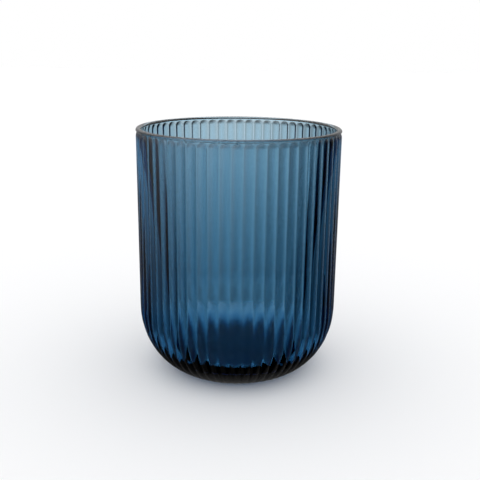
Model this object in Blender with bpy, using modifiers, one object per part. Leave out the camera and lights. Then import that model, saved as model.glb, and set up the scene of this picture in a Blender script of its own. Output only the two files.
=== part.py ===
"""Ribbed vase: one piece of pressed glass with a wide mouth and a rounded bottom.

The wall is turned from one profile. The grooves between its upright ribs are then
pressed into the outer skin by a formula. The axis is +Z, and the foot rests on z = 0.
"""

import math

import bpy

# Overall sizes, in metres.
HEIGHT = 0.1                    # foot to the top of the lip
RIM_DIAMETER = 0.082            # across the outside of the lip
SHOULDER_DIAMETER = 0.0816      # across the rib crests, where the straight wall ends
SHOULDER_HEIGHT = 0.0266        # foot to the end of the straight wall

# Rounded bottom, outside: part of an ellipse, cut off by the flat foot.
BOTTOM_CURVE_REACH = 0.0222     # half width of the ellipse, in from the shoulder
FOOT_CUT = 0.0012               # end of the ellipse that would lie below the foot
FOOT_EDGE_RADIUS = 0.0015       # rounding between the ellipse and the flat foot

# Inside.
RIM_WALL = 0.0022               # rib crest to the smooth inner face, just under the lip
SHOULDER_WALL = 0.0037          # the same at the shoulder; the wall thickens evenly
FLOOR_THICKNESS = 0.0075        # foot to the flat floor inside
FLOOR_CURVE_REACH = 0.0125      # inner wall in to the edge of the flat floor
FLOOR_CURVE_OFFSET = 0.0026     # outer shoulder down to the top of the inner curve

# Lip: a plain rounded edge above the ribs.
LIP_HEIGHT = 0.001              # top of the lip down to its straight outer edge
LIP_STEP = 0.0003               # slope from that edge into the groove under it
RIB_TOP_GAP = 0.0001            # bottom of the slope to the rounded rib tops

# Ribs.
RIB_COUNT = 60
RIB_DEPTH = 0.0007              # crest to groove, on the straight wall

# Fineness of the mesh.
COLUMNS_PER_RIB = 4
LIP_SEGMENTS = 4                # even, so that one point is the top of the lip
RIB_TOP_ROWS = 2
BOTTOM_SEGMENTS = 5
FOOT_EDGE_SEGMENTS = 1
FLOOR_CURVE_SEGMENTS = 4
SHARP_ANGLE = math.radians(30)
MERGE_DISTANCE = 0.00001

# Clear blue glass.
GLASS_COLOUR = (0.07, 0.18, 0.28, 1.0)
GLASS_METALLIC = 0.0
GLASS_ROUGHNESS = 0.05
GLASS_IOR = 1.52

# Sizes that follow from those above.
RIM_RADIUS = RIM_DIAMETER / 2
SHOULDER_RADIUS = SHOULDER_DIAMETER / 2
BOTTOM_CURVE_DROP = SHOULDER_HEIGHT + FOOT_CUT
FLOOR_CURVE_TOP = SHOULDER_HEIGHT - FLOOR_CURVE_OFFSET
LIP_HALF_WIDTH = RIM_WALL / 2
LIP_EDGE = HEIGHT - LIP_HEIGHT
RIB_TOP = LIP_EDGE - LIP_STEP - RIB_TOP_GAP
RIB_HALF_WIDTH = math.pi * RIM_RADIUS / RIB_COUNT
RIB_FULL_HEIGHT = RIB_TOP - RIB_HALF_WIDTH
QUARTER_TURN = math.pi / 2

GROOVE = "groove_depth"


def clear_scene():
    """Remove what the file held before."""
    for thing in list(bpy.data.objects):
        bpy.data.objects.remove(thing, do_unlink=True)


def arc(centre, half_width, half_height, start, end, segments):
    """Points of an elliptic arc in the (radius, height) plane, with both ends."""
    points = []
    for step in range(segments + 1):
        angle = start + (end - start) * step / segments
        radius = centre[0] + half_width * math.cos(angle)
        height = centre[1] + half_height * math.sin(angle)
        points.append((radius, height))
    return points


def bottom_normal(angle):
    """Outward unit normal of the bottom ellipse, at an angle below the horizontal."""
    across = math.cos(angle) / BOTTOM_CURVE_REACH
    down = math.sin(angle) / BOTTOM_CURVE_DROP
    length = math.hypot(across, down)
    return across / length, -down / length


def edge_centre_height(angle):
    """Height of the foot rounding's centre if it touches the ellipse at this angle."""
    on_curve = SHOULDER_HEIGHT - BOTTOM_CURVE_DROP * math.sin(angle)
    return on_curve - FOOT_EDGE_RADIUS * bottom_normal(angle)[1]


def foot_edge_angle():
    """Angle at which the foot rounding leaves the ellipse, found by halving."""
    low = 0.0
    high = QUARTER_TURN
    while high - low > MERGE_DISTANCE:
        middle = (low + high) / 2
        if edge_centre_height(middle) > FOOT_EDGE_RADIUS:
            low = middle
        else:
            high = middle
    return low


def way_down(height):
    """Share of the way from the lip's edge, 0, down to the shoulder, 1."""
    return (LIP_EDGE - height) / (LIP_EDGE - SHOULDER_HEIGHT)


def wall_radius(height):
    """Radius over the rib crests on the straight wall, which tapers a little."""
    return RIM_RADIUS + (SHOULDER_RADIUS - RIM_RADIUS) * way_down(height)


def wall_thickness(height):
    """Rib crest to inner face: pressed glass is thicker lower down."""
    return RIM_WALL + (SHOULDER_WALL - RIM_WALL) * way_down(height)


def inner_profile():
    """Centre of the floor, its edge, and the curve up to the straight inner wall."""
    inner_radius = wall_radius(FLOOR_CURVE_TOP) - wall_thickness(FLOOR_CURVE_TOP)
    floor_radius = inner_radius - FLOOR_CURVE_REACH
    rise = FLOOR_CURVE_TOP - FLOOR_THICKNESS
    curve = arc((floor_radius, FLOOR_CURVE_TOP), FLOOR_CURVE_REACH, rise,
                -QUARTER_TURN, 0.0, FLOOR_CURVE_SEGMENTS)
    return [(0.0, FLOOR_THICKNESS)] + curve


def lip_profile():
    """Rounded top, from the inner wall over to the outer edge of the lip."""
    centre = (RIM_RADIUS - LIP_HALF_WIDTH, LIP_EDGE)
    return arc(centre, LIP_HALF_WIDTH, LIP_HEIGHT, math.pi, 0.0, LIP_SEGMENTS)


def ribbed_profile():
    """Rib crests: straight wall under the lip, then the rounded bottom."""
    heights = [LIP_EDGE - LIP_STEP, RIB_TOP]
    for row in range(1, RIB_TOP_ROWS + 1):
        heights.append(RIB_TOP - RIB_HALF_WIDTH * row / RIB_TOP_ROWS)
    wall = [(wall_radius(height), height) for height in heights]
    centre = (SHOULDER_RADIUS - BOTTOM_CURVE_REACH, SHOULDER_HEIGHT)
    return wall + arc(centre, BOTTOM_CURVE_REACH, BOTTOM_CURVE_DROP,
                      0.0, -foot_edge_angle(), BOTTOM_SEGMENTS)


def foot_profile(start):
    """Rounded edge of the foot from the ribs' lower end, then in to the axis."""
    across, down = bottom_normal(foot_edge_angle())
    centre = (start[0] - FOOT_EDGE_RADIUS * across, FOOT_EDGE_RADIUS)
    edge = arc(centre, FOOT_EDGE_RADIUS, FOOT_EDGE_RADIUS,
               math.atan2(down, across), -QUARTER_TURN, FOOT_EDGE_SEGMENTS)
    return edge[1:] + [(0.0, 0.0)]


def profile_mesh():
    """Whole profile as a line of edges at +X. Each point knows its groove depth."""
    inside = inner_profile() + lip_profile()
    ribbed = ribbed_profile()
    foot = foot_profile(ribbed[-1])
    points = inside + ribbed + foot
    depths = [0.0] * len(inside)
    depths += [RIB_DEPTH * radius / RIM_RADIUS for radius, height in ribbed]
    depths += [0.0] * len(foot)
    mesh = bpy.data.meshes.new("profile")
    corners = [(radius, 0.0, height) for radius, height in points]
    edges = [(index, index + 1) for index in range(len(points) - 1)]
    mesh.from_pydata(corners, edges, [])
    groove = mesh.attributes.new(GROOVE, "FLOAT", "POINT")
    groove.data.foreach_set("value", depths)
    return mesh


def turned_mesh(collection):
    """Turn the profile once round +Z and return the closed mesh."""
    blank = bpy.data.objects.new("turned_blank", profile_mesh())
    collection.objects.link(blank)
    turn = blank.modifiers.new("turn", "SCREW")
    turn.axis = "Z"
    turn.angle = math.tau
    turn.steps = RIB_COUNT * COLUMNS_PER_RIB
    turn.render_steps = turn.steps
    turn.use_merge_vertices = True
    turn.merge_threshold = MERGE_DISTANCE
    bpy.context.view_layer.update()
    graph = bpy.context.evaluated_depsgraph_get()
    mesh = bpy.data.meshes.new_from_object(blank.evaluated_get(graph))
    bpy.data.objects.remove(blank, do_unlink=True)
    return mesh


def rib_relief(angle, height):
    """Share of the full rib: 1 on a crest, 0 in a groove, rounded off at the top."""
    turn = angle * RIB_COUNT / math.tau
    across = abs(2 * (turn - math.floor(turn)) - 1)
    above = max(0.0, height - RIB_FULL_HEIGHT) / RIB_HALF_WIDTH
    return max(0.0, 1 - across ** 2 - above ** 2)


def press_grooves(mesh):
    """Push the outer skin in towards the axis between the ribs."""
    groove = mesh.attributes[GROOVE].data
    for vertex in mesh.vertices:
        full_depth = groove[vertex.index].value
        if full_depth > 0:
            angle = math.atan2(vertex.co.y, vertex.co.x)
            depth = full_depth * (1 - rib_relief(angle, vertex.co.z))
            shrink = 1 - depth / math.hypot(vertex.co.x, vertex.co.y)
            vertex.co.x *= shrink
            vertex.co.y *= shrink


def glass_material():
    """Clear blue glass with a fire-polished surface."""
    material = bpy.data.materials.new("blue_glass")
    material.use_nodes = True
    shader = material.node_tree.nodes["Principled BSDF"]
    shader.inputs["Base Color"].default_value = GLASS_COLOUR
    shader.inputs["Metallic"].default_value = GLASS_METALLIC
    shader.inputs["Roughness"].default_value = GLASS_ROUGHNESS
    shader.inputs["IOR"].default_value = GLASS_IOR
    return material


def build_vessel(collection):
    """The vase itself, the only piece there is."""
    mesh = turned_mesh(collection)
    press_grooves(mesh)
    mesh.shade_smooth()
    mesh.set_sharp_from_angle(angle=SHARP_ANGLE)
    mesh.materials.clear()
    mesh.materials.append(glass_material())
    mesh.name = "glass_vessel"
    vessel = bpy.data.objects.new("glass_vessel", mesh)
    collection.objects.link(vessel)
    return vessel


def main():
    clear_scene()
    collection = bpy.data.collections.new("ribbed_glass_vase")
    bpy.context.scene.collection.children.link(collection)
    build_vessel(collection)


main()
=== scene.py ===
# %% [markdown]
# # A ribbed vase of blue pressed glass
#
# The object is one piece of glass. A pressed vase is made by dropping a gob of
# molten glass into an iron mould and pushing a smooth plunger into it. The mould
# gives the outside its upright ribs, and the plunger leaves the inside smooth.
#
# The imported CAD model is the fixed frame that everything is measured from. It is
# loaded first, and its box is kept, because the vase's height and rim radius are
# read from it.

import math

import bmesh
import bpy
from mathutils import Matrix, Vector, noise


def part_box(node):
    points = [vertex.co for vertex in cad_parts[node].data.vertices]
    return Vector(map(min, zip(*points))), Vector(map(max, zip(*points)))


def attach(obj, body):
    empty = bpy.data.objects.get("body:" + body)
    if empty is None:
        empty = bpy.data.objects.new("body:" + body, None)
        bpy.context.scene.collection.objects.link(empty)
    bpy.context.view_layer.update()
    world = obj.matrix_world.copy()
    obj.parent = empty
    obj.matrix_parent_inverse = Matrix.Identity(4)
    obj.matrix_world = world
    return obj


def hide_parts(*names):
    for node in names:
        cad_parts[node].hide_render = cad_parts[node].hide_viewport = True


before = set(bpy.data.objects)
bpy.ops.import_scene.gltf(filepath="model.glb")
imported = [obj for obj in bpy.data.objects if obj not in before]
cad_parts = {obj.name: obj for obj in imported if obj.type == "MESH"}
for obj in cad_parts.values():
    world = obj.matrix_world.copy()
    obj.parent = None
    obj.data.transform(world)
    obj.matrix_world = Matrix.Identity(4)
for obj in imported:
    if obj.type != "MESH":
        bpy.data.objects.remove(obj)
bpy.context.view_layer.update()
low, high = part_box("glass_vessel")
MM = 1000                       # millimetres in a metre, for what is printed
print("CAD vase, mm:", [round(MM * side, 2) for side in high - low])

# %% [markdown]
# ## Sizes
#
# A script is easiest to change when every size has a name. The height and the rim
# come from the CAD box. The others describe the wall: its ribs, its lip, the
# rounded bottom and the thick floor. Glass sizes matter more than those of a
# painted thing, because light passes through the whole wall, and a wall that is a
# millimetre too thick is visibly darker.

# %% Sizes, in metres
HEIGHT = high.z - low.z
RIM_RADIUS = (high.x - low.x) / 2
SHOULDER_RADIUS = 0.0408        # over the rib crests, where the straight wall ends
SHOULDER_HEIGHT = 0.0266

BOTTOM_REACH = 0.0222           # the rounded bottom is part of an ellipse
BOTTOM_DROP = 0.0278
FOOT_ROUNDING = 0.0015

RIM_WALL = 0.0022               # rib crest to inner face, under the lip
SHOULDER_WALL = 0.0037          # and at the shoulder
FLOOR = 0.0075                  # thickness of the glass floor
CORNER_REACH = 0.0125           # the inner corner, from wall to flat floor
CORNER_TOP = 0.024

LIP_DROP = 0.001                # top of the lip to its straight outer edge
LIP_STEP = 0.0003               # slope from that edge into the groove below it
RIB_GAP = 0.0001                # end of the slope to the rounded rib tops

RIBS = 60
RIB_DEPTH = 0.0007              # crest to groove
COLUMNS = 12                    # mesh columns across one rib

QUARTER = math.pi / 2
LIP_EDGE = HEIGHT - LIP_DROP
LIP_HALF = RIM_WALL / 2
RIB_TOP = LIP_EDGE - LIP_STEP - RIB_GAP
RIB_HALF_WIDTH = math.pi * RIM_RADIUS / RIBS
RIB_ANGLE = math.tau / RIBS
print("ribs are", round(MM * 2 * RIB_HALF_WIDTH, 2), "mm apart")

# %% [markdown]
# ## How the wall runs
#
# The straight wall is not quite straight. The outside leans in a little on its way
# down, so that the vase slips out of the mould, and the plunger is more slender at
# its tip, so the wall is thicker lower down. Two small functions hold both facts,
# and everything that touches the wall asks them.

# %% The wall's radius inside and outside


def way_down(height):
    """0 at the lip's edge, 1 at the shoulder."""
    return (LIP_EDGE - height) / (LIP_EDGE - SHOULDER_HEIGHT)


def crest_radius(height):
    """Outside radius over the rib crests."""
    return RIM_RADIUS + (SHOULDER_RADIUS - RIM_RADIUS) * way_down(height)


def inner_radius(height):
    """Radius of the smooth inner face."""
    wall = RIM_WALL + (SHOULDER_WALL - RIM_WALL) * way_down(height)
    return crest_radius(height) - wall


print("inner radius at the lip, mm:", round(MM * inner_radius(LIP_EDGE), 2))

# %% [markdown]
# ## Two pens for a profile
#
# A turned shape starts as a line: half of its cross-section. It could be a long
# table of points, but a line drawn with two moves is easier to read and to change.
# The first move extrudes the last vertex to a new place, which draws a straight
# edge. The second spins the last vertex round a centre, which draws a circular
# arc, and then squashes the arc upright, which makes it part of an ellipse.

# %% Draw lines and arcs in the upright plane at +X
UP = Vector((0, 0, 1))
TURN_AXIS = Vector((0, 1, 0))   # arcs of the profile turn about this direction


def line_to(bm, vertex, radius, height):
    """Extrude one vertex to a new radius and height, and return the new vertex."""
    drawn = bmesh.ops.extrude_vert_indiv(bm, verts=[vertex])
    drawn["verts"][0].co = (radius, 0, height)
    return drawn["verts"][0]


def arc_to(bm, vertex, centre, angle, steps, squash=1.0):
    """Spin one vertex about a centre. Squash scales the arc's height about it."""
    drawn_before = len(bm.verts)
    middle = Vector((centre[0], 0, centre[1]))
    drawn = bmesh.ops.spin(bm, geom=[vertex], cent=middle, axis=TURN_AXIS,
                           angle=angle, steps=steps)
    bm.verts.ensure_lookup_table()
    arc = [vertex] + bm.verts[drawn_before:]
    bmesh.ops.scale(bm, vec=(1, 1, squash), verts=arc,
                    space=Matrix.Translation(-middle))
    return drawn["geom_last"][0]


print("pens: line_to and arc_to")

# %% [markdown]
# ## The profile
#
# The pen starts in the middle of the inside floor. It goes out to the floor's edge,
# up the rounded inner corner and the tapered wall, over the fire-polished lip, and
# down the outside over the rib crests to the rounded bottom, the softened edge of
# the foot, and back to the axis. Rows are closer together where the ribs end in
# rounded tops under the lip, because that shape needs them.

# %% Draw the inside and the lip
CORNER_STEPS = 18
LIP_STEPS = 12
WALL_ROWS = 12                  # rows up each straight wall

glass = bmesh.new()
groove = glass.verts.layers.float.new("groove")
pen = glass.verts.new((0, 0, FLOOR))

corner_wall = inner_radius(CORNER_TOP)
floor_edge = corner_wall - CORNER_REACH
corner_squash = (CORNER_TOP - FLOOR) / CORNER_REACH
pen = line_to(glass, pen, floor_edge / 2, FLOOR)
pen = line_to(glass, pen, floor_edge, CORNER_TOP - CORNER_REACH)
pen = arc_to(glass, pen, (floor_edge, CORNER_TOP), -QUARTER, CORNER_STEPS,
             corner_squash)
for row in range(1, WALL_ROWS + 1):
    height = CORNER_TOP + (LIP_EDGE - CORNER_TOP) * row / WALL_ROWS
    pen = line_to(glass, pen, inner_radius(height), height)
pen = arc_to(glass, pen, (RIM_RADIUS - LIP_HALF, LIP_EDGE), math.pi, LIP_STEPS,
             LIP_DROP / LIP_HALF)
inside_points = len(glass.verts)
print("inside and lip:", inside_points, "points")

# %% [markdown]
# The outside needs its rows where the shape changes. The first few fall on the
# short slope under the lip, where the grooves start. The next ones cover the
# rounded rib tops, and stand closest at the very top, where the curve is tightest.
# Below that the wall is plain, and even rows are enough.

# %% Draw the outside, the rounded bottom and the foot
SLOPE_ROWS = 4
TOP_ROWS = 12
TOP_CROWDING = 1.5              # 1 spaces the rows evenly, more crowds them upwards
BOTTOM_STEPS = 24
FOOT_STEPS = 6
CIRCULAR = 0.5                  # bevel profile that gives a circular rounding

for row in range(1, SLOPE_ROWS + 1):
    height = LIP_EDGE - LIP_STEP * row / SLOPE_ROWS
    pen = line_to(glass, pen, crest_radius(height), height)
for row in range(TOP_ROWS + 1):
    height = RIB_TOP - RIB_HALF_WIDTH * (row / TOP_ROWS) ** TOP_CROWDING
    pen = line_to(glass, pen, crest_radius(height), height)
wall_top = pen.co.z
for row in range(1, WALL_ROWS + 1):
    height = wall_top + (SHOULDER_HEIGHT - wall_top) * row / WALL_ROWS
    pen = line_to(glass, pen, crest_radius(height), height)

bottom_centre = (SHOULDER_RADIUS - BOTTOM_REACH, SHOULDER_HEIGHT)
bottom_angle = math.asin(SHOULDER_HEIGHT / BOTTOM_DROP)
pen = arc_to(glass, pen, bottom_centre, bottom_angle, BOTTOM_STEPS,
             BOTTOM_DROP / BOTTOM_REACH)
foot_corner = pen
pen = line_to(glass, pen, pen.co.x / 2, 0)
pen = line_to(glass, pen, 0, 0)
glass.verts.ensure_lookup_table()
for point in glass.verts[inside_points:]:
    point[groove] = 1.0
print("foot, mm across:", round(MM * 2 * foot_corner.co.x, 1))
bmesh.ops.bevel(glass, geom=[foot_corner], offset=FOOT_ROUNDING, affect="VERTICES",
                segments=FOOT_STEPS, profile=CIRCULAR, material=-1)
print("whole profile:", len(glass.verts), "points,", len(glass.edges), "edges")

# %% [markdown]
# ## One rib, then sixty
#
# The ribs could be cut all round after a full turn, but a spin gets slow when it
# has hundreds of steps. All ribs are alike, so it is quicker to turn the profile
# through one rib only, press that rib's shape, and copy it round.
#
# A rib is rounded across and domed at its top. Both come from one formula: the
# crest stands at full height, and the skin sinks with the square of the distance
# from it, sideways and upwards. The groove between two ribs is the sharp line
# where their sides meet.

# %% Turn one rib's share of the profile and press the rib
bmesh.ops.spin(glass, geom=glass.verts[:] + glass.edges[:], cent=(0, 0, 0),
               axis=UP, angle=RIB_ANGLE, steps=COLUMNS)


def smooth_step(share):
    """0 to 1 with soft ends, held at both."""
    share = min(max(share, 0), 1)
    return share * share * (3 - 2 * share)


def rib_relief(angle, height):
    """1 on a crest, 0 in a groove."""
    across = abs(2 * angle / RIB_ANGLE - 1)
    above = max(0, height - (RIB_TOP - RIB_HALF_WIDTH)) / RIB_HALF_WIDTH
    return max(0, 1 - across ** 2 - above ** 2)


def groove_depth(radius, height):
    """Depth of a groove: none at the lip, full on the wall, fading at the foot."""
    start = smooth_step((LIP_EDGE - height) / LIP_STEP)
    end = smooth_step(height / FOOT_ROUNDING)
    return RIB_DEPTH * start * end * radius / RIM_RADIUS


for point in glass.verts:
    radius = math.hypot(point.co.x, point.co.y)
    if point[groove] > 0 and radius > 0:
        angle = abs(math.atan2(point.co.y, point.co.x))
        sunk = groove_depth(radius, point.co.z) * (1 - rib_relief(angle, point.co.z))
        point.co.x *= 1 - sunk / radius
        point.co.y *= 1 - sunk / radius
print("one rib:", len(glass.faces), "faces")

# %% [markdown]
# Copying a rib fifty-nine times one by one would be slow too. Doubling what is
# there is faster: one rib becomes two, then four, then twelve, then sixty. The
# seams between the copies are closed by merging the points that lie on each other,
# and the normals are worked out again afterwards, so that they all point outwards.

# %% Copy the rib round and close the skin
COPY_STEPS = (2, 2, 3, 5)       # together one full turn of sixty ribs
MERGE = 0.000002

turned = RIB_ANGLE
for times in COPY_STEPS:
    part = glass.verts[:] + glass.edges[:] + glass.faces[:]
    for copy in range(1, times):
        made = bmesh.ops.duplicate(glass, geom=part)["geom"]
        points = [item for item in made if isinstance(item, bmesh.types.BMVert)]
        bmesh.ops.rotate(glass, cent=(0, 0, 0), verts=points,
                         matrix=Matrix.Rotation(turned * copy, 3, "Z"))
    turned *= times
bmesh.ops.remove_doubles(glass, verts=glass.verts, dist=MERGE)
bmesh.ops.recalc_face_normals(glass, faces=glass.faces)
open_edges = [edge for edge in glass.edges if len(edge.link_faces) != 2]
print("full turn:", round(math.degrees(turned)), "degrees,",
      len(glass.faces), "faces,", len(open_edges), "open edges")

# %% [markdown]
# ## The small unevenness of pressed glass
#
# Glass that has been pressed is never as true as a drawing. The plunger leaves the
# inside faintly wavy, and the outside moves a little as it leaves the mould. The
# waves are only hundredths of a millimetre high, but light that passes through
# them bends, and that is what makes the stripes of a glass wall tremble. The waves
# are made in the mesh itself, with a noise that gives the same result each time.

# %% Add waves a few hundredths of a millimetre high
WAVE_LENGTH = 0.012
INSIDE_WAVE = 0.00003
OUTSIDE_WAVE = 0.000015
GLASS_DENSITY = 2500            # kg in a cubic metre

for point in glass.verts:
    side = OUTSIDE_WAVE if point[groove] > 0 else INSIDE_WAVE
    wave = noise.noise(point.co / WAVE_LENGTH) * side
    point.co.x += wave * point.co.x / RIM_RADIUS
    point.co.y += wave * point.co.y / RIM_RADIUS

mesh = bpy.data.meshes.new("pressed_vase")
print("glass weighs, kg:", round(glass.calc_volume() * GLASS_DENSITY, 3))
glass.to_mesh(mesh)
glass.free()
mesh.shade_smooth()
vase = bpy.data.objects.new("pressed_vase", mesh)
bpy.context.scene.collection.objects.link(vase)

# %% [markdown]
# ## Colours and nodes
#
# Colours are written as sRGB hex values, as in any colour chart. Shaders work in
# linear light, so one function turns the hex value to linear. A second function
# adds a node to a tree with its settings and links in one call.

# %% Helpers for colours and nodes


def linear(hex_colour):
    """Linear RGBA from an sRGB hex string."""
    channels = [int(hex_colour[i:i + 2], 16) / 255 for i in (1, 3, 5)]
    parts = [c / 12.92 if c <= 0.04045 else ((c + 0.055) / 1.055) ** 2.4
             for c in channels]
    return (*parts, 1.0)


def add_node(tree, kind, inputs=(), **settings):
    """Add a node. Inputs are (name or number, socket or value) pairs."""
    node = tree.nodes.new(kind)
    for name, value in settings.items():
        if hasattr(node, name):
            setattr(node, name, value)
        else:
            node.inputs[name.replace("_", " ")].default_value = value
    for name, source in inputs:
        if isinstance(source, bpy.types.NodeSocket):
            tree.links.new(source, node.inputs[name])
        else:
            node.inputs[name].default_value = source
    return node


WHITE = linear("#ffffff")
print("mid grey in linear light:", round(linear("#808080")[0], 3))

# %% [markdown]
# ## Pressed soda-lime glass, tinted blue
#
# Soda-lime glass is what most bottles and tumblers are made of. Its IOR is 1.52,
# and its surface is fire-polished: a flame melts the skin until it is smooth, so
# it hardly blurs anything. The blue isn't paint. Metal oxides in the melt soak up
# red light and some green along the whole way that light travels in the glass, so
# the thick floor is nearly navy and the thin lip nearly clear. A base colour can't
# do that. Volume absorption can: its density is the share of light that is lost
# per metre, and its colour says which part is spared.
#
# The skin is not perfect either. Fine ripples from the iron mould, a millimetre or
# two long, come from a noise in a Bump node, and a very slight change in roughness
# follows a larger noise, as smears from handling would.

# %% Make the glass
ABSORPTION = (388, 206, 120)    # share of red, green and blue lost per metre
IOR = 1.52
RIPPLE = 0.0016                 # length of one ripple, in metres
RIPPLE_HEIGHT = 0.000004
RIPPLE_DETAIL = 2.0             # octaves of finer noise on top
SMEAR = 0.009                   # length of one smear, in metres
SMEAR_DETAIL = 3.0
SMEAR_SPAN = (0.35, 0.7)        # the noise hardly leaves this span
ROUGHNESS = (0.0, 0.015)        # roughness at its two ends
SHOWN_DEPTH = 0.005             # of glass, for the print below

blue_glass = bpy.data.materials.new("pressed_soda_lime_glass")
blue_glass.use_nodes = True
tree = blue_glass.node_tree
shader = tree.nodes["Principled BSDF"]
shader.inputs["Base Color"].default_value = WHITE
shader.inputs["Transmission Weight"].default_value = 1
shader.inputs["IOR"].default_value = IOR

place = add_node(tree, "ShaderNodeTexCoord").outputs["Object"]
ripple = add_node(tree, "ShaderNodeTexNoise", [("Vector", place)],
                  Scale=1 / RIPPLE, Detail=RIPPLE_DETAIL)
bump = add_node(tree, "ShaderNodeBump", [("Height", ripple.outputs["Fac"])],
                Distance=RIPPLE_HEIGHT, Strength=1.0)
tree.links.new(bump.outputs["Normal"], shader.inputs["Normal"])
smear = add_node(tree, "ShaderNodeTexNoise", [("Vector", place)],
                 Scale=1 / SMEAR, Detail=SMEAR_DETAIL)
polish = add_node(tree, "ShaderNodeMapRange", [("Value", smear.outputs["Fac"])],
                  From_Min=SMEAR_SPAN[0], From_Max=SMEAR_SPAN[1],
                  To_Min=ROUGHNESS[0], To_Max=ROUGHNESS[1])
tree.links.new(polish.outputs["Result"], shader.inputs["Roughness"])

strongest = max(ABSORPTION)
spared = [1 - share / strongest for share in ABSORPTION]
tint = add_node(tree, "ShaderNodeVolumeAbsorption",
                Color=(*spared, 1.0), Density=strongest)
tree.links.new(tint.outputs["Volume"], tree.nodes["Material Output"].inputs["Volume"])
mesh.materials.append(blue_glass)
print("light left after", MM * SHOWN_DEPTH, "mm:",
      [round(math.exp(-SHOWN_DEPTH * share), 2) for share in ABSORPTION])

# %% [markdown]
# ## In place of the CAD solid
#
# The CAD solid has four flat strips on each rib. The finished vase has the same
# place and sizes, and stands for it.

# %% Tie the vase to the frame
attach(vase, "root")
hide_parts("glass_vessel")
print(vase.name, "stands for glass_vessel:", len(mesh.polygons), "faces")

# %% [markdown]
# ## The camera
#
# The camera stands about thirty centimetres from the vase and looks down at it by
# fifteen degrees, which is how a small thing on a table is usually seen. It is
# turned a few degrees about the vase, because the ribs repeat every six degrees
# and their bright lines only fall in place at one angle.

# %% Set up the camera
CAMERA_TURN = math.radians(3.5)
CAMERA_PLACE = (0.0009, -0.29725, 0.13415)
CAMERA_DIP = 0.2663             # radians below level
CAMERA_ROLL = 0.0107            # radians
LENS = 55.52                    # mm, on a 36 mm sensor
NEAREST = 0.01                  # nothing closer than this is drawn

camera_data = bpy.data.cameras.new("studio_camera")
camera_data.lens = LENS
camera_data.clip_start = NEAREST
camera = bpy.data.objects.new("studio_camera", camera_data)
camera.matrix_world = (Matrix.Rotation(CAMERA_TURN, 4, "Z")
                       @ Matrix.Translation(CAMERA_PLACE)
                       @ Matrix.Rotation(QUARTER - CAMERA_DIP, 4, "X")
                       @ Matrix.Rotation(CAMERA_ROLL, 4, "Z"))
bpy.context.scene.collection.objects.link(camera)
bpy.context.scene.camera = camera
bpy.context.scene.view_settings.view_transform = "Standard"
print("camera at", [round(side, 3) for side in camera.matrix_world.translation])

# %% [markdown]
# ## The table
#
# The vase stands on matt white paper. The paper is a flat grid, a hair below the
# foot, so that the two never share a face. Glass bends whatever is behind it, so
# the paper matters twice: near the foot it holds the vase's own shadow, and further
# out it is only a bright field. The shader keeps the first and, for rays that come
# through glass, fades the second into the studio's own brightness, where it can be
# steered.

# %% Lay the paper
TABLE_SIZE = 6.0
TABLE_GAP = 0.0002
SHADOW_END = (0.04, 0.07)       # seen through glass, it fades between these radii
PAPER_COLOUR = "#f6f6f7"
PAPER_ROUGHNESS = 0.9
PAPER_SHEEN = 0.2               # specular level: paper hardly shines

table_mesh = bmesh.new()
bmesh.ops.create_grid(table_mesh, x_segments=1, y_segments=1, size=TABLE_SIZE / 2)
bmesh.ops.translate(table_mesh, vec=(0, 0, -TABLE_GAP), verts=table_mesh.verts)
floor_mesh = bpy.data.meshes.new("studio_table")
table_mesh.to_mesh(floor_mesh)
table_mesh.free()
floor = bpy.data.objects.new("studio_table", floor_mesh)
bpy.context.scene.collection.objects.link(floor)
floor.visible_glossy = False

paper = bpy.data.materials.new("matt_white_paper")
paper.use_nodes = True
tree = paper.node_tree
matt = tree.nodes["Principled BSDF"]
matt.inputs["Base Color"].default_value = linear(PAPER_COLOUR)
matt.inputs["Roughness"].default_value = PAPER_ROUGHNESS
matt.inputs["Specular IOR Level"].default_value = PAPER_SHEEN
place = add_node(tree, "ShaderNodeTexCoord").outputs["Object"]
away = add_node(tree, "ShaderNodeVectorMath", [(0, place)], operation="LENGTH")
fade = add_node(tree, "ShaderNodeMapRange", [("Value", away.outputs["Value"])],
                From_Min=SHADOW_END[0], From_Max=SHADOW_END[1])
ray = add_node(tree, "ShaderNodeLightPath")
open_share = add_node(tree, "ShaderNodeMath", [
    (0, fade.outputs["Result"]), (1, ray.outputs["Is Transmission Ray"])],
    operation="MULTIPLY")
clear = add_node(tree, "ShaderNodeBsdfTransparent")
both = add_node(tree, "ShaderNodeMixShader", [
    (0, open_share.outputs["Value"]), (1, matt.outputs["BSDF"]),
    (2, clear.outputs["BSDF"])])
tree.links.new(both.outputs["Shader"], tree.nodes["Material Output"].inputs["Surface"])
floor_mesh.materials.append(paper)
print("table:", TABLE_SIZE, "m of", paper.name)

# %% [markdown]
# ## The studio
#
# Clear glass has no look of its own. What is seen in it is the room, bent by the
# ribs, so lighting glass means deciding how bright the room is in each direction.
# It could be done with white panels and black cloth. Here the world's shader does
# it: it reads the direction of a ray, and a plan says how bright that direction is.
#
# A plan has a few rings, one above another. Each starts with its elevation in
# degrees, and then gives the brightness at a set of angles round the vase: zero is
# straight behind it, plus is to the right and minus to the left.
#
# One plan is for light that comes through the glass. It has a bright stretch of
# table behind the vase, dark cloth above that, light from the sides and a bright
# ceiling. The dark cloth, mirrored in the foot, makes the dark disc at the bottom,
# and the change from dark to bright at the sides draws the lines between the ribs.
#
# The other plan is for reflections: a tall soft light at the front left, a darker
# room on the right and a broad light overhead. It draws a thin bright line down
# each rib.

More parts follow.
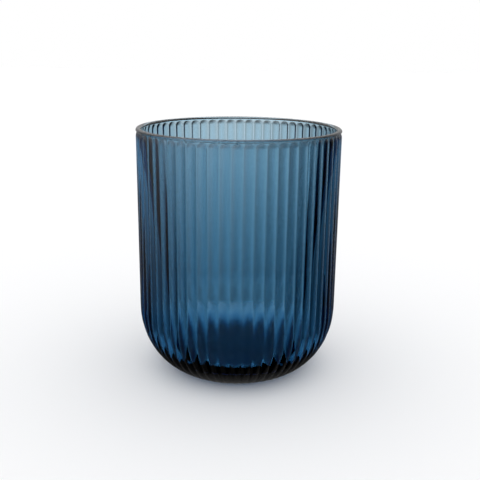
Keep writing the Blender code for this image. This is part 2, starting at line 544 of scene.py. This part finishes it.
# %% Plan the brightness round the vase
BEHIND_GLASS_ANGLES = (-150, -100, -65, -40, -22, -10, 0, 10, 22, 40, 65, 100, 150)
BEHIND_GLASS = {
    -40: (.9, .74, .39, .3, .34, .32, .3, .25, .18, .15, .15, .56, .7),
    -20: (1.2, .65, .12, .3, .8, .46, .2, .15, .4, .34, .1, .85, 1.1),
    -6: (1.1, .54, .35, .6, .62, .8, .92, .82, .4, .12, .15, 1.15, 1.4),
    8: (1.1, .8, .55, .42, .25, .12, .05, .12, .3, .5, .78, 1.15, 1.3),
    32: (1.4, 1.1, .8, .4, .12, .02, 0, .02, .12, .4, .9, 1.3, 1.4),
    55: (1.9, 1.8, 1.7, 1.6, 1.5, 1.5, 1.5, 1.5, 1.5, 1.6, 1.7, 1.8, 1.9),
}
REFLECTED_ANGLES = (-165, -135, -105, -60, 0, 60, 105, 135, 165)
REFLECTED = {
    -22: (0, .02, .03, .02, .1, .05, 0, 0, 0),
    -15: (.03, .3, .4, .14, .35, .2, 0, 0, .02),
    4: (.7, 1.6, 1.0, .3, .5, .3, 0, .1, .6),
    25: (.9, 1.6, 1.2, 1.0, 1.0, .5, .2, .3, .6),
    50: (1.8, 2.0, 1.9, 1.8, 1.7, 1.3, 1.0, 1.2, 1.6),
}
AMBIENT = 1.1                   # what lights the table
BACKDROP = 1.0                  # what the camera sees beyond it
BRIGHTEST = 2.0                 # ramps hold shares of this

# %% [markdown]
# A direction has an elevation and an angle round the vase, and both come from its
# coordinates. The angle picks a place along a colour ramp, one ramp for each ring
# of the plan, and the elevation then blends from ring to ring.

# %% Turn a ray's direction into two angles
studio = bpy.data.worlds.new("studio")
bpy.context.scene.world = studio
studio.use_nodes = True
tree = studio.node_tree
tree.nodes.clear()

direction = add_node(tree, "ShaderNodeTexCoord").outputs["Generated"]
axes = add_node(tree, "ShaderNodeSeparateXYZ", [("Vector", direction)])
elevation = add_node(tree, "ShaderNodeMath", [(0, axes.outputs["Z"])],
                     operation="ARCSINE")
heading = add_node(tree, "ShaderNodeMath", [
    (0, axes.outputs["X"]), (1, axes.outputs["Y"])], operation="ARCTAN2")
round_share = add_node(
    tree, "ShaderNodeMapRange", [("Value", heading.outputs["Value"])],
    From_Min=-math.pi - CAMERA_TURN, From_Max=math.pi - CAMERA_TURN)
print("direction nodes:", len(tree.nodes))

# %% [markdown]
# A ring could be a row of lamps, but lamps leave gaps that the glass would show. A
# colour ramp has none. Its own two stops stay at its ends, which both lie straight
# in front of the vase. They share one brightness, or there would be a hard line in
# the room. Every angle of the plan adds a stop between them.

# %% Build both plans from rings
HALF_TURN = 180                 # degrees
FULL_TURN = 360


def grey(level):
    """A ramp colour for a brightness."""
    return (*[level / BRIGHTEST] * 3, 1)


rooms = []
for angles, plan in ((BEHIND_GLASS_ANGLES, BEHIND_GLASS),
                     (REFLECTED_ANGLES, REFLECTED)):
    ring_below = None
    for ring_height, levels in plan.items():
        ring = add_node(tree, "ShaderNodeValToRGB",
                        [("Fac", round_share.outputs["Result"])])
        stops = ring.color_ramp.elements
        for stop, end in zip(stops, (0, 1)):
            stop.position = end
            stop.color = grey((levels[0] + levels[-1]) / 2)
        for angle, level in zip(angles, levels):
            stops.new((angle + HALF_TURN) / FULL_TURN).color = grey(level)
        if ring_below is None:
            shade = ring.outputs["Color"]
        else:
            climb = add_node(
                tree, "ShaderNodeMapRange", [("Value", elevation.outputs["Value"])],
                From_Min=math.radians(ring_below), From_Max=math.radians(ring_height))
            blend = add_node(tree, "ShaderNodeMix",
                             [("Factor", climb.outputs["Result"])], data_type="RGBA")
            tree.links.new(shade, blend.inputs["A"])
            tree.links.new(ring.outputs["Color"], blend.inputs["B"])
            shade = blend.outputs["Result"]
        ring_below = ring_height
    rooms.append(add_node(tree, "ShaderNodeBackground", [("Color", shade)],
                          Strength=BRIGHTEST))
print("rings:", len(BEHIND_GLASS), "behind the glass,", len(REFLECTED), "reflected")

# %% [markdown]
# The last step picks a room for each ray. A ray that was bent can count as
# reflected too, so the choice for transmission comes after the one for reflection.
# Light that has already left the paper gets the even ambient room again, or else
# the shadow under the vase would be black.

# %% Choose the room for each kind of ray
ray = add_node(tree, "ShaderNodeLightPath")
scattered = add_node(tree, "ShaderNodeMath", [
    (0, ray.outputs["Diffuse Depth"]), (1, 1.0)], operation="MINIMUM")
first_hand = add_node(tree, "ShaderNodeMath", [
    (0, 1.0), (1, scattered.outputs["Value"])], operation="SUBTRACT")
behind_glass, reflected = rooms
backdrop = add_node(tree, "ShaderNodeBackground", Color=WHITE, Strength=BACKDROP)
ambient = add_node(tree, "ShaderNodeBackground", Color=WHITE, Strength=AMBIENT)
light = ambient.outputs["Background"]
for kind, room in (("Is Glossy Ray", reflected),
                   ("Is Transmission Ray", behind_glass),
                   ("Is Camera Ray", backdrop)):
    chosen = add_node(tree, "ShaderNodeMath", [
        (0, ray.outputs[kind]), (1, first_hand.outputs["Value"])], operation="MULTIPLY")
    choice = add_node(tree, "ShaderNodeMixShader", [
        (0, chosen.outputs["Value"]), (1, light), (2, room.outputs["Background"])])
    light = choice.outputs["Shader"]
add_node(tree, "ShaderNodeOutputWorld", [("Surface", light)])
print("world nodes:", len(tree.nodes))
